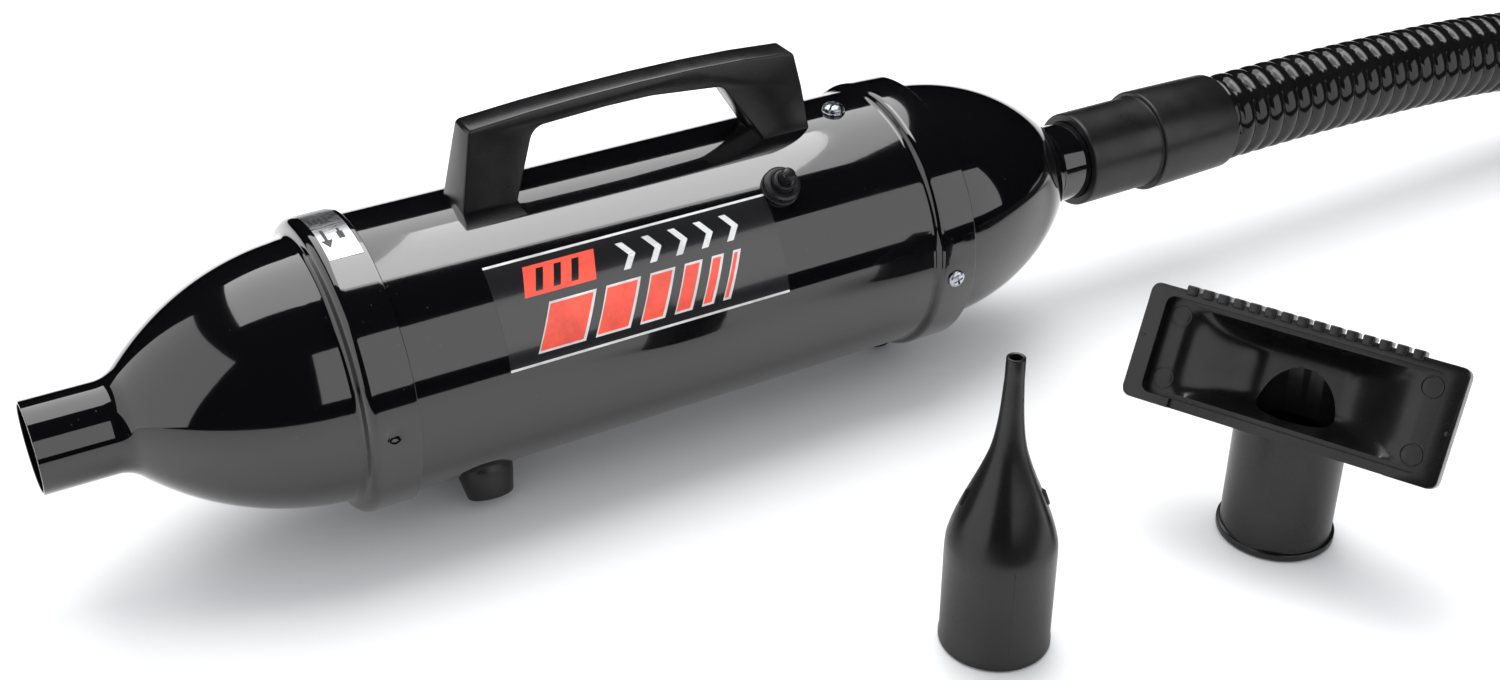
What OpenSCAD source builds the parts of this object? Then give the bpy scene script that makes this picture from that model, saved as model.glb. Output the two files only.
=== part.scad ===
// Hand-carried pet dryer: steel torpedo housing, twist-off nose, hose and two slip-on nozzles.
// Millimetres, +Z up, floor at z = 0, body axis along X with the nose towards -X.

/* [Housing] */
// outer diameter of the body tube
body_d = 114.3;
// [90:0.1:140]
// steel sheet thickness
sheet = 1.2;
// [0.8:0.1:2]
// height of the body axis above the floor
axis_h = 68;
// [60:1:90]
// front end of the body tube
tube_x0 = -133.5;
// [-150:0.5:-100]
// step where the rear skirt begins
tube_x1 = 116.5;
// [80:0.5:140]
// outer diameter of the front and rear skirts
skirt_d = 119.6;
// [116:0.1:130]
// front edge of the nose skirt
skirt_x0 = -136.5;
// [-150:0.5:-120]
// rear lip of the nose skirt
skirt_x1 = -116;
// [-130:0.5:-100]
// rear lip of the rear skirt
lip_x = 136;
// [120:0.5:150]

/* [Ends] */
// outer diameter of the outlet and neck tubes
port_d = 36.4;
// [30:0.1:45]
// front end of the outlet tube
port_x0 = -246;
// [-270:1:-220]
// radius of the nose dome profile
nose_arc = 112.1;
// [80:0.1:150]
// radius of the fillet at the outlet tube
nose_fillet = 12;
// [5:0.5:20]
// radius of the rear dome profile
rear_arc = 117.2;
// [80:0.1:150]
// rear end of the neck tube
neck_x1 = 262;
// [240:1:280]
// turn that frees the twist lock, degrees
lock_turn = 25;
// [15:1:40]

/* [Handle] */
// handle width at the foot
grip_w = 20.6;
// [16:0.2:30]
// handle width at the top
grip_top_w = 12.6;
// [10:0.2:24]

/* [Switch] */
// switch position along the body
switch_x = 53;
// [30:1:80]
// switch position around the body, degrees
switch_a = 127;
// [100:1:150]
// button plunger diameter
button_d = 5.8;
// [4:0.1:9]
// button travel
button_travel = 3;
// [1:0.5:4]

/* [Motor] */
// shaft diameter
shaft_d = 8;
// [6:0.5:10]
// armature diameter
armature_d = 36;
// [30:0.5:44]
// field stack diameter
field_d = 72;
// [60:1:80]
// impeller diameter
fan_d = 96;
// [80:1:100]

/* [Hose] */
// hose outside diameter
hose_d = 42.4;
// [36:0.2:50]
// hose inside diameter
hose_id = 35;
// [30:0.5:42]
// rear end of the machine cuff, where the hose leaves it
cuff_x1 = 318;
// [300:1:350]

/* [Nozzles] */
// bore of the nozzle sockets
socket_d = 36.6;
// [31:0.1:45]
// pinpoint nozzle height
pin_h = 122.5;
// [90:0.5:160]
// pinpoint tip diameter
tip_d = 6.4;
// [4:0.2:12]
// utility nozzle mouth length
mouth_l = 125;
// [90:1:150]
// utility nozzle mouth width
mouth_w = 45;
// [30:1:60]

/* [Hidden] */
$fn = 64;
body_r = body_d/2;
skirt_r = skirt_d/2;
port_r = port_d/2;
in_r = body_r - sheet;
dome_off = 58.8;
dome_x = -132.5;
rear_off = 63.5;
rear_x = 140;
run = 0.04;
hub_r = shaft_d/2 + 0.015;
blk = [0.05, 0.05, 0.055];
steel = [0.7, 0.7, 0.72];
pin_x = 49.4;
noz_y = -198.9;
util_x = 182.2;
hose_route = [[318, 0, 68], [367, 0, 68], [420, 0, 67], [470, 0, 65], [515, 0, 61.5], [558, -3, 56.5],
  [612, -14, 48], [663, -39, 39], [703, -79, 31], [729, -130, 25.5], [738, -187, 22.5], [729, -244, 21.5],
  [703, -295, 21.5], [663, -335, 21.5], [612, -361, 21.5], [556, -370, 21.5], [502, -370, 21.5],
  [448, -370, 21.5]];

// turned about the body axis: children are profiles in [radius, x]
module lathe() translate([0, 0, axis_h]) rotate([0, 90, 0]) rotate_extrude() children();
// the same, between two angles measured from +Y towards +Z
module lathe_arc(a0, a1) translate([0, 0, axis_h]) rotate([0, 90, 0]) rotate([0, 0, a0 + 90])
  rotate_extrude(angle = a1 - a0) children();
// local +Z outwards from the axis at angle a
module radial(x, a) translate([x, 0, axis_h]) rotate([a - 90, 0, 0]) children();
module bar(r0, r1, x0, x1) translate([r0, x0]) square([r1 - r0, x1 - x0]);

// nose outline filled to the axis, set in by t
module nose_fill(t) {
  fx = dome_x - sqrt(pow(nose_arc + nose_fillet, 2) - pow(port_r + nose_fillet + dome_off, 2));
  k = nose_arc/(nose_arc + nose_fillet);
  tr = -dome_off + (port_r + nose_fillet + dome_off)*k;
  tx = dome_x + (fx - dome_x)*k;
  intersection() {
    translate([-dome_off, dome_x]) circle(r = nose_arc - t);
    bar(0, 70, tx, skirt_x0 + sheet - t);
  }
  bar(0, port_r - t, port_x0 - (t > 0 ? 1 : 0), fx + 0.5);
  difference() {
    polygon([[0, fx], [port_r + nose_fillet, fx], [tr, tx], [0, tx + 4]]);
    translate([port_r + nose_fillet, fx]) circle(r = nose_fillet + t);
  }
}

module nose_cone() color(blk) {
  difference() {
    union() {
      lathe() difference() {
        union() {
          nose_fill(0);
          bar(0, skirt_r - 1.5, skirt_x0, skirt_x1);
          bar(0, skirt_r, skirt_x0 + 1.5, skirt_x1);
          translate([skirt_r - 1.5, skirt_x0 + 1.5]) circle(r = 1.5);
        }
        nose_fill(sheet);
        bar(-1, 52.2, skirt_x0, skirt_x1 + 1);
        bar(-1, skirt_r - 1.6, skirt_x0 + sheet, skirt_x1 + 1);
      }
      for (a = [60, 180, 300]) radial(-127, a) translate([0, 0, 56.3]) cylinder(r = 2.6, h = 2.3);
    }
    for (a = [60, 180, 300]) radial(-127, a) translate([0, 0, 58.6]) cylinder(r = 2, h = 3);
    for (a = [75, 195, 315]) radial(skirt_x1, a) translate([0, 0, 57]) cylinder(r = 2, h = 5);
  }
}

module nose_gasket() color([0.1, 0.1, 0.1]) lathe() bar(53.6, 58, skirt_x0 + sheet + 0.05, tube_x0 - 0.1);

module lock_label() color(steel) lathe_arc(64, 110) bar(skirt_r + 0.02, skirt_r + 0.2, -133.5, -118);

module body_tube() color(blk) difference() {
  lathe() difference() {
    union() {
      bar(in_r, body_r, tube_x0, tube_x1 + 1);
      bar(in_r, skirt_r - 1.5, tube_x1, lip_x);
      bar(in_r, skirt_r, tube_x1 + 1.5, lip_x);
      translate([skirt_r - 1.5, tube_x1 + 1.5]) circle(r = 1.5);
    }
    bar(in_r - 1, skirt_r - sheet, tube_x1 + sheet, lip_x + 1);
  }
  for (a = [60, 180, 300]) {
    lathe_arc(a - 4, a + lock_turn + 4) bar(50, 60, -130.2, -123.8);
    lathe_arc(a + lock_turn - 4.5, a + lock_turn + 3.5) bar(49, 61, -140, -125);
  }
  radial(switch_x, switch_a) cylinder(r = 5.3, h = 70);
  radial(98, 93) translate([0, 0, 40]) cylinder(r = 2, h = 30);
  for (x = [-63, 70]) radial(x, 90) translate([0, 0, 40]) cylinder(r = 2.2, h = 30);
  for (a = [247, 293]) radial(-80, a) translate([0, 0, 50]) cylinder(r = 2.1, h = 10);
  for (a = [5, 185]) radial(126, a) translate([0, 0, 40]) cylinder(r = 1.7, h = 30);
  translate([126, 0, -1]) cylinder(r = 1.9, h = 30);
  radial(78, 20) translate([-13, -10, 40]) cube([26, 20, 30]);
}

module rear_cone() color(blk) difference() {
  lathe() difference() {
    union() {
      bar(0, 58.4, 120, 131.2);
      bar(0, rear_arc - rear_off, 130, rear_x);
      intersection() {
        translate([-rear_off, rear_x]) circle(r = rear_arc);
        bar(0, 70, rear_x, 230);
      }
      bar(0, port_r, 215, neck_x1);
    }
    bar(-1, 57.2, 119, 130);
    bar(-1, rear_arc - rear_off - sheet, 129, rear_x);
    intersection() {
      translate([-rear_off, rear_x]) circle(r = rear_arc - sheet);
      bar(-1, 70, rear_x - 0.01, 230);
    }
    bar(-1, port_r - sheet, 210, neck_x1 + 1);
  }
  for (a = [5, 185]) radial(126, a) translate([0, 0, 40]) cylinder(r = 1.63, h = 30);
  translate([126, 0, -1]) cylinder(r = 1.83, h = 30);
}

module handle() color(blk) difference() {
  intersection() {
    translate([0, 20, axis_h]) rotate([90, 0, 0]) linear_extrude(40) difference() {
      polygon([[-76, 48], [-74.5, 57], [-68.3, 85], [-67.4, 87.8], [-65, 89.2], [-42, 90.7], [-20, 91.8],
        [5, 92.5], [30, 92.5], [52, 91.8], [72, 90.6], [75, 89.4], [76.6, 87], [79, 75], [81.8, 55], [82.4, 48]]);
      polygon([[-52.5, 40], [-51.8, 55.2], [-44.8, 74.5], [-42, 80], [-38, 83], [-32, 84.4], [-10, 85.3],
        [10, 85.3], [32, 84.3], [38.5, 82.8], [43.5, 79.2], [58.8, 57], [64, 40]]);
    }
    translate([-100, 0, axis_h]) rotate([90, 0, 90]) linear_extrude(200)
      polygon([[-grip_w/2 - 0.8, 48], [grip_w/2 + 0.8, 48], [grip_w/2, 57], [grip_top_w/2 + 0.6, 88],
        [grip_top_w/2, 89.5], [grip_top_w/2, 96], [-grip_top_w/2, 96], [-grip_top_w/2, 89.5],
        [-grip_top_w/2 - 0.6, 88], [-grip_w/2, 57]]);
  }
  lathe() bar(0, body_r + 0.02, -100, 100);
  for (x = [-63, 70]) radial(x, 90) cylinder(r = 2.02, h = 75);
}

module handle_screws() color(steel) for (x = [-63, 70]) radial(x, 90) {
  translate([0, 0, 52.6]) cylinder(r = 2, h = 22);
  translate([0, 0, 52.6]) cylinder(r = 4.2, h = 2.6);
}

module front_feet() color([0.06, 0.06, 0.06]) for (a = [247, 293]) difference() {
  radial(-80, a) difference() {
    translate([0, 0, 50]) cylinder(r1 = 12.2, r2 = 9.3, h = 19.9);
    translate([0, 0, 65.9]) cylinder(r = 4.4, h = 5);
    translate([0, 0, 45]) cylinder(r = 2.05, h = 30);
  }
  lathe() bar(0, body_r + 0.02, -100, -60);
}

module foot_screws() color(steel) for (a = [247, 293]) radial(-80, a) {
  translate([0, 0, 65.9]) cylinder(r = 4, h = 2.4);
  translate([0, 0, 54.4]) cylinder(r = 2, h = 12);
}

module rear_foot() color([0.06, 0.06, 0.06]) translate([126, 0, 0]) difference() {
  union() {
    cylinder(r1 = 6.5, r2 = 7.5, h = axis_h - skirt_r - 0.02);
    cylinder(r = 1.8, h = axis_h - skirt_r + 4);
  }
  translate([0, 0, -1]) cylinder(r = 1.5, h = 4);
}

module switch_body() color([0.12, 0.12, 0.12]) radial(switch_x, switch_a) difference() {
  union() {
    translate([-9, -6.5, 27]) cube([18, 13, 18]);
    translate([0, 0, 44]) cylinder(r = 5.1, h = 20);
    translate([-6, -0.4, 21]) cube([2, 0.8, 7]);
    translate([4, -0.4, 21]) cube([2, 0.8, 7]);
  }
  translate([0, 0, 46]) cylinder(r = button_d/2 + run, h = 30);
}

module switch_nut() color([0.1, 0.1, 0.1]) radial(switch_x, switch_a) translate([0, 0, body_r + 0.02])
  difference() {
    union() {
      linear_extrude(3.4) polygon([for (i = [0:71]) (i % 2 == 0 ? 7.9 : 7.3)*[cos(i*5), sin(i*5)]]);
      translate([0, 0, 3.3]) cylinder(r1 = 7.2, r2 = 6.6, h = 0.9);
    }
    translate([0, 0, -1]) cylinder(r = 5.13, h = 8);
  }

module button() color(blk) radial(switch_x, switch_a) {
  translate([0, 0, 52]) cylinder(r = button_d/2, h = 17);
  translate([0, 0, 69]) cylinder(r1 = button_d/2, r2 = button_d/2 - 0.9, h = 0.9);
}

module button_spring() color(steel) radial(switch_x, switch_a)
  for (i = [0:4]) translate([0, 0, 46.5 + i*1.25]) rotate_extrude() translate([2.1, 0]) circle(r = 0.35, $fn = 12);

module bracket_screw() color(steel) radial(98, 93) difference() {
  union() {
    translate([0, 0, 52]) cylinder(r = 1.93, h = 6);
    translate([0, 0, body_r + 0.03]) cylinder(r = 4.9, h = 0.8);
    translate([0, 0, body_r + 0.8]) cylinder(r1 = 4.3, r2 = 3.9, h = 2);
  }
  translate([-6, -0.6, body_r + 1.9]) cube([12, 1.2, 3]);
}

module skirt_screws() color(steel) for (a = [5, 185]) radial(126, a) difference() {
  union() {
    translate([0, 0, 54.5]) cylinder(r = 1.6, h = 6);
    translate([0, 0, skirt_r + 0.03]) cylinder(r = 3.9, h = 1.2);
    translate([0, 0, skirt_r + 1.2]) cylinder(r1 = 3.9, r2 = 3, h = 1.1);
  }
  for (r = [0, 90]) rotate([0, 0, r]) translate([-2.2, -0.45, skirt_r + 1]) cube([4.4, 0.9, 3]);
}

module power_inlet() color([0.09, 0.09, 0.09]) radial(78, 20) difference() {
  union() {
    translate([-16, -11, body_r + 0.1]) cube([32, 22, 2.5]);
    translate([-12.9, -9.9, 38]) cube([25.8, 19.8, 20]);
  }
  translate([-10.5, -7.5, 42]) cube([21, 15, 30]);
  for (x = [-4, 4]) translate([x, 0, 30]) cylinder(r = 1.6, h = 20);
}

module inlet_pins() color([0.75, 0.7, 0.5]) radial(78, 20)
  for (x = [-4, 4]) translate([x, 0, 34]) cylinder(r = 1.58, h = 20);

module decal_panel() color([0.6, 0.1, 0.08]) lathe_arc(127.5, 170) bar(body_r + 0.02, body_r + 0.2, -78, 45);

module guard_plate() color(steel) difference() {
  lathe() union() {
    bar(0, in_r - 0.05, 96, 97.2);
    bar(in_r - 1.3, in_r - 0.05, 96, 103);
  }
  for (i = [0:5]) for (r = [16, 30, 44]) radial(96, i*60 + r) translate([0, 0, r]) rotate([0, 90, 0])
    translate([0, 0, -2]) cylinder(r = 5.5, h = 6);
  radial(98, 93) translate([0, 0, 40]) cylinder(r = 1.96, h = 30);
  radial(78, 20) translate([-13, -10, 30]) cube([36, 20, 40]);
}

module filter_frame() color([0.12, 0.12, 0.12]) lathe() union() {
  bar(50.5, in_r - 0.1, -123.4, -122);
  bar(50.5, 53.4, -132.5, -122);
}

module filter_pad() color([0.75, 0.75, 0.72]) lathe() bar(0, 50.4, -130, -124);

module fan_can() color(steel) difference() {
  lathe() union() {
    bar(22, 52, -121, -120);
    bar(51, 52, -121, -79);
    bar(36, 52, -80, -79);
    bar(51, in_r - 0.1, -101, -100);
  }
  for (i = [0:7]) radial(-79, i*45 + 20) translate([0, 0, 44]) rotate([0, 90, 0]) translate([0, 0, -3])
    cylinder(r = 4.5, h = 6);
}

module diffuser() color([0.6, 0.6, 0.62]) difference() {
  union() {
    lathe() union() {
      bar(10, 50.9, -102.5, -101.5);
      bar(8, 49, -94, -93);
    }
    for (i = [0:11]) radial(-101.6, i*30) translate([0, -0.5, 20]) rotate([22, 0, 0]) cube([8, 1, 25]);
  }
  lathe() bar(0, 7, -110, -90);
}

module mount_ring() color([0.07, 0.07, 0.07]) lathe() union() {
  bar(52.05, in_r - 0.02, -99.9, -92);
  bar(52.05, in_r - 0.02, -109, -101.1);
}

module front_bracket() color([0.62, 0.62, 0.64]) difference() {
  lathe() union() {
    bar(6, 40, -78.95, -74);
    bar(6, 14, -78.95, -62);
    bar(36.03, 40, -78.95, 19.9);
  }
  lathe() bar(0, 11.02, -72, -60);
  for (i = [0:7]) radial(-76, i*45) translate([0, 0, 26]) rotate([0, 90, 0]) translate([0, 0, -4])
    cylinder(r = 6, h = 8);
  for (a = [0, 90, 180, 270]) radial(5.5, a) translate([-10, -13, 30]) cube([20, 26, 20]);
  for (a = [45, 135, 225, 315]) radial(-62, a) translate([-8, -9, 30]) cube([16, 18, 20]);
}

module rear_bracket() color([0.62, 0.62, 0.64]) difference() {
  lathe() union() {
    bar(6, 40, 20, 23);
    bar(6, 14, 20, 33);
  }
  lathe() bar(0, 11.02, 19, 29.1);
  for (i = [0:5]) radial(20, i*60 + 30) translate([0, 0, 27]) rotate([0, 90, 0]) translate([0, 0, -3])
    cylinder(r = 8, h = 10);
}

module rear_spider() color([0.1, 0.1, 0.1]) union() {
  lathe() difference() {
    bar(52.5, in_r - 0.05, 21, 29);
    bar(0, 40, 0, 40);
  }
  lathe() bar(40.05, 43, 20, 29);
  for (a = [30, 150, 270]) radial(25, a) translate([-3, -4, 42.5]) cube([6, 8, 10.5]);
}

module field_stack() color([0.35, 0.35, 0.37]) difference() {
  lathe() bar(armature_d/2 + 0.6, field_d/2, -50, -8);
  for (a = [0, 180]) radial(-29, a) translate([-30, -16, 22]) cube([60, 32, 9]);
}

module field_coils() color([0.7, 0.35, 0.15]) for (a = [0, 180]) radial(-29, a) difference() {
  translate([-31, -15.5, 22.3]) cube([62, 31, 8.4]);
  translate([-22, -8, 20]) cube([44, 16, 12]);
}

module bearings() color(steel) for (x = [-71.9, 19.1]) lathe() difference() {
  bar(shaft_d/2 + run, 11, x, x + 9);
  translate([7.5, x]) circle(r = 1.4);
  translate([7.5, x + 9]) circle(r = 1.4);
}

module brush_holders() color([0.75, 0.6, 0.3]) for (a = [0, 180]) radial(7, a) difference() {
  translate([-4.2, -5.2, 12]) cube([8.4, 10.4, 24]);
  translate([-3.05, -4.05, 11]) cube([6.1, 8.1, 23.5]);
}

module brushes() color([0.15, 0.15, 0.15]) for (a = [0, 180]) radial(7, a)
  difference() {
    translate([-3, -4, 9.2]) cube([6, 8, 15]);
    translate([-5, 0, 0]) rotate([0, 90, 0]) cylinder(r = 9.55, h = 10);
  }

module brush_springs() color(steel) for (a = [0, 180]) radial(7, a) for (i = [0:5])
  translate([0, 0, 24.7 + i*1.7]) rotate_extrude() translate([2.2, 0]) circle(r = 0.4, $fn = 12);

module shaft() color(steel) lathe() bar(0, shaft_d/2, -117, 31);

module armature_core() color([0.4, 0.4, 0.42]) difference() {
  lathe() bar(hub_r, armature_d/2, -50, -8);
  for (i = [0:11]) radial(-29, i*30) translate([-25, -1.2, 14.5]) cube([50, 2.4, 5]);
}

module armature_windings() color([0.75, 0.4, 0.18]) {
  lathe() bar(hub_r, 15.5, -57, -50.02);
  lathe() bar(hub_r, 15.5, -7.98, -1);
  for (i = [0:11]) radial(-29, i*30) translate([-21, -1.1, 14.6]) cube([42, 2.2, 2.6]);
}

module commutator() color([0.8, 0.5, 0.3]) difference() {
  lathe() bar(hub_r, 9.5, 1, 15);
  for (i = [0:23]) radial(8, i*15) translate([-6, -0.2, 9]) cube([16, 0.4, 2]);
}

module impellers() color([0.72, 0.72, 0.74]) for (x = [-117, -91.5]) {
  lathe() union() {
    bar(hub_r, 8, x + 1, x + 10);
    bar(hub_r, fan_d/2, x + 9.2, x + 10);
    bar(23.5, fan_d/2, x, x + 0.8);
  }
  for (i = [0:7]) radial(x + 0.7, i*45) translate([0, -0.4, 24]) rotate([-28, 0, 0]) cube([8.6, 0.8, 22]);
}

module impeller_nut() color(steel) {
  translate([-119.5, 0, axis_h]) rotate([0, 90, 0]) difference() {
    cylinder(r = 7, h = 3.4, $fn = 6);
    translate([0, 0, 2.4]) cylinder(r = shaft_d/2 + 0.01, h = 4);
  }
  lathe() bar(hub_r, 6.5, -106.9, -90.6);
}

module hose_cuff() color([0.06, 0.06, 0.06]) lathe() difference() {
  union() {
    bar(0, 22.2, 231.5, 234);
    bar(0, 21.9, 231.5, 273);
    polygon([[0, 272], [23.8, 272], [24.4, 272.8], [23.4, cuff_x1 - 1], [22.8, cuff_x1], [0, cuff_x1]]);
  }
  bar(-1, port_r + 0.03, 230, neck_x1 + 0.5);
  bar(-1, hose_id/2 - 1.5, 230, cuff_x1 + 1);
}

// hose swept along its route
function mixp(p, i, f) = let (a = p[max(i - 1, 0)], b = p[i], c = p[i + 1], d = p[min(i + 2, len(p) - 1)])
  0.5*(2*b + (c - a)*f + (2*a - 5*b + 4*c - d)*f*f + (3*b - a - 3*c + d)*f*f*f);
function unit(v) = v/norm(v);
sides = 12;
steps = 3;
path = concat([for (i = [0:len(hose_route) - 2]) for (s = [0:steps - 1]) mixp(hose_route, i, s/steps)],
  [hose_route[len(hose_route) - 1]]);
rings = len(path);
function dirn(i) = i == 0 ? [1, 0, 0] : i == rings - 1 ? [-1, 0, 0] : unit(path[i + 1] - path[i - 1]);
function ring(i, r) = let (t = dirn(i), s = unit(cross([0, 0, 1], t)), u = cross(t, s))
  [for (k = [0:sides - 1]) path[i] + r*(s*cos(360*k/sides) + u*sin(360*k/sides))];
module hose() color([0.05, 0.05, 0.05]) {
  outer = [for (i = [0:rings - 1]) each ring(i, hose_d/2)];
  inner = [for (i = [0:rings - 1]) each ring(i, hose_id/2)];
  n = rings*sides;
  e = (rings - 1)*sides;
  polyhedron(points = concat(outer, inner), faces = concat(
    [for (i = [0:rings - 2]) for (k = [0:sides - 1]) let (a = i*sides + k, b = i*sides + (k + 1) % sides)
      each [[a, a + sides, b], [b, a + sides, b + sides]]],
    [for (i = [0:rings - 2]) for (k = [0:sides - 1]) let (a = n + i*sides + k, b = n + i*sides + (k + 1) % sides)
      each [[a, b, a + sides], [b, b + sides, a + sides]]],
    [for (k = [0:sides - 1]) let (b = (k + 1) % sides) each [[k, b, n + k], [b, n + b, n + k]]],
    [for (k = [0:sides - 1]) let (b = (k + 1) % sides)
      each [[e + k, n + e + k, e + b], [e + b, n + e + k, n + e + b]]]));
}

module hose_end_cuff() color([0.06, 0.06, 0.06]) translate([448, -370, 21.5]) rotate([0, -90, 0])
  rotate_extrude() difference() {
    union() {
      bar(0, 21.4, 0.02, 46);
      bar(0, 21, 40, 50);
      bar(0, port_r, 49, 90);
    }
    bar(-1, port_r - 2, -1, 91);
  }

// pinpoint outline filled to its axis, set in by t
module pin_fill(t) {
  d = 20.6 - tip_d/2;
  l = 66;
  arc = (d*d + l*l)/(4*d);
  m = 40 + l/2;
  bar(0, 20.6 - t, t > 0 ? 40 : 0, 40.5);
  intersection() {
    translate([20.6 - arc, 40]) circle(r = arc - t);
    bar(0, 30, 40, m);
  }
  difference() {
    bar(0, 20.6 - d/2 + 0.9 - t, m - 0.5, 106);
    translate([tip_d/2 + arc, 106]) circle(r = arc + t);
  }
  bar(0, tip_d/2 - t, 105, pin_h + (t > 0 ? 1 : 0));
}

module pinpoint_nozzle() color(blk) translate([pin_x, noz_y, 0]) union() {
  rotate_extrude() difference() {
    union() {
      pin_fill(0);
      bar(0, 20.9, 0, 2.5);
    }
    pin_fill(1.4);
    bar(-1, socket_d/2, -1, 40.1);
  }
  for (a = [0, 180]) rotate([0, 0, a - 30]) translate([13.2, -0.5, 66]) cube([1.6, 1, 6]);
}

module head_place() translate([util_x, noz_y, 67.5]) rotate([58.8, 0, -62.5]) children();
module utility_nozzle() color(blk) difference() {
  union() {
    head_place() {
      translate([-mouth_l/2, -mouth_w/2 + 2, -9]) cube([mouth_l, mouth_w - 4, 9]);
      translate([-mouth_l/2 + 2, -mouth_w/2, -9]) cube([mouth_l - 4, mouth_w, 9]);
      for (x = [-1, 1]) for (y = [-1, 1])
        translate([x*(mouth_l/2 - 2), y*(mouth_w/2 - 2), -9]) cylinder(r = 2, h = 9);
      translate([-mouth_l/2 + 4, 0, 0]) rotate([90, 0, 90]) linear_extrude(mouth_l - 8)
        polygon([[-18, -8], [19, -8], [19, -12], [10, -29], [-17, -18]]);
      for (i = [0:14]) translate([-47 + i*6.4, mouth_w/2 - 0.5, -9]) cube([3.8, 1.5, 9]);
    }
    translate([util_x, noz_y, 0]) cylinder(r = 21.8, h = 44);
    translate([util_x, noz_y, 44]) cylinder(r1 = 21.8, r2 = 19, h = 8);
    translate([util_x, noz_y, 0]) cylinder(r = 23.2, h = 3);
  }
  head_place() {
    translate([-mouth_l/2 + 3.2, -mouth_w/2 + 3.2, -7]) cube([mouth_l - 6.4, mouth_w - 6.4, 10]);
    translate([-mouth_l/2 + 6.5, 0, 0]) rotate([90, 0, 90]) linear_extrude(mouth_l - 13)
      polygon([[-15, -6], [16.5, -6], [16.5, -11.5], [9, -25.5], [-14.5, -15.5]]);
    translate([-42, -mouth_w/2 - 1, -2.4]) cube([84, 5, 4]);
  }
  translate([util_x, noz_y, -1]) cylinder(r = socket_d/2, h = 41);
  translate([util_x, noz_y, 39]) cylinder(r = 16, h = 16);
}

body_tube();
rear_cone();
handle();
handle_screws();
front_feet();
foot_screws();
rear_foot();
switch_body();
switch_nut();
button();
button_spring();
bracket_screw();
skirt_screws();
power_inlet();
inlet_pins();
decal_panel();
guard_plate();
filter_frame();
filter_pad();
fan_can();
diffuser();
mount_ring();
front_bracket();
rear_bracket();
rear_spider();
field_stack();
field_coils();
bearings();
brush_holders();
brushes();
brush_springs();
shaft();
armature_core();
armature_windings();
commutator();
impellers();
impeller_nut();
nose_cone();
nose_gasket();
lock_label();
hose_cuff();
hose();
hose_end_cuff();
pinpoint_nozzle();
utility_nozzle();
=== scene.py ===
# Pet dryer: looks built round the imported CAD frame. Blender works in metres; sizes here are in millimetres
# and pass through MM. The body axis runs along X at height AXIS_H, nose towards -X, floor at z = 0.
import math

import bmesh
import bpy
from mathutils import Matrix, Vector


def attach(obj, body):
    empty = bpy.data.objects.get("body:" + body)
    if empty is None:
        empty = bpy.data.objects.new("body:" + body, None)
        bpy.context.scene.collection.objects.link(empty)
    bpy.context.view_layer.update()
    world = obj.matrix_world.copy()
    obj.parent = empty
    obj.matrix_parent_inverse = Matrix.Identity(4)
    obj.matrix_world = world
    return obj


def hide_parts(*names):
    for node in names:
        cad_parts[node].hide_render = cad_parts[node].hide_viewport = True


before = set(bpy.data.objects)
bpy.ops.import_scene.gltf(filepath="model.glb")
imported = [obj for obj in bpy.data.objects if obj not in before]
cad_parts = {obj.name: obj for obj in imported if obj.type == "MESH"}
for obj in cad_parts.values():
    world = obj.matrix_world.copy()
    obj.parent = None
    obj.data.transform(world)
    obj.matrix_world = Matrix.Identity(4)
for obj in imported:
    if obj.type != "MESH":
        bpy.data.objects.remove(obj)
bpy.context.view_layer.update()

MM = 0.001
AXIS_H = 68.0
BODY_R = 57.15
SHEET = 1.2
SKIRT_R = 59.8
PORT_R = 18.2
NOSE_ARC = (-132.5, -58.8, 112.1)
REAR_ARC = (140.0, -46.0, 99.7)
NOSE_FILLET = 12.0
PIN_X, PIN_Y = 49.4, -198.9
UTIL_X, UTIL_Y = 186.5, -201.3
HEAD_Z, HEAD_BACK, HEAD_TURN, HEAD_TILT = 77.4, -15.0, -62.5, 58.8
HOSE_D = 42.4
HOSE_ROUTE = [(318, 0, 68), (367, 0, 68), (420, 0, 67), (470, 0, 65), (515, 0, 61.5), (558, -3, 56.5),
              (612, -14, 48), (663, -39, 39), (703, -79, 31), (729, -130, 25.5), (738, -187, 22.5),
              (729, -244, 21.5), (703, -295, 21.5), (663, -335, 21.5), (612, -361, 21.5), (556, -370, 21.5),
              (502, -370, 21.5), (448, -370, 21.5)]
X_AXIS = (Matrix.Translation((0, 0, AXIS_H * MM))
          @ Matrix(((0, 0, 1, 0), (0, 1, 0, 0), (-1, 0, 0, 0), (0, 0, 0, 1))))


# ---------------------------------------------------------------- node materials
def new_material(name, base, rough, metal=0.0, coat=0.0, coat_rough=0.03, specular=0.5):
    m = bpy.data.materials.new(name)
    m.use_nodes = True
    nt = m.node_tree
    b = nt.nodes["Principled BSDF"]
    b.inputs["Base Color"].default_value = (*base, 1)
    b.inputs["Roughness"].default_value = rough
    b.inputs["Metallic"].default_value = metal
    b.inputs["Coat Weight"].default_value = coat
    b.inputs["Coat Roughness"].default_value = coat_rough
    b.inputs["Specular IOR Level"].default_value = specular
    return m, nt, b


def noise(nt, scale, detail=2.0, rough=0.5, stretch=(1, 1, 1)):
    tc = nt.nodes.new("ShaderNodeTexCoord")
    mp = nt.nodes.new("ShaderNodeMapping")
    mp.inputs["Scale"].default_value = stretch
    n = nt.nodes.new("ShaderNodeTexNoise")
    n.inputs["Scale"].default_value = scale
    n.inputs["Detail"].default_value = detail
    n.inputs["Roughness"].default_value = rough
    nt.links.new(tc.outputs["Object"], mp.inputs["Vector"])
    nt.links.new(mp.outputs["Vector"], n.inputs["Vector"])
    return n.outputs["Fac"]


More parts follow.
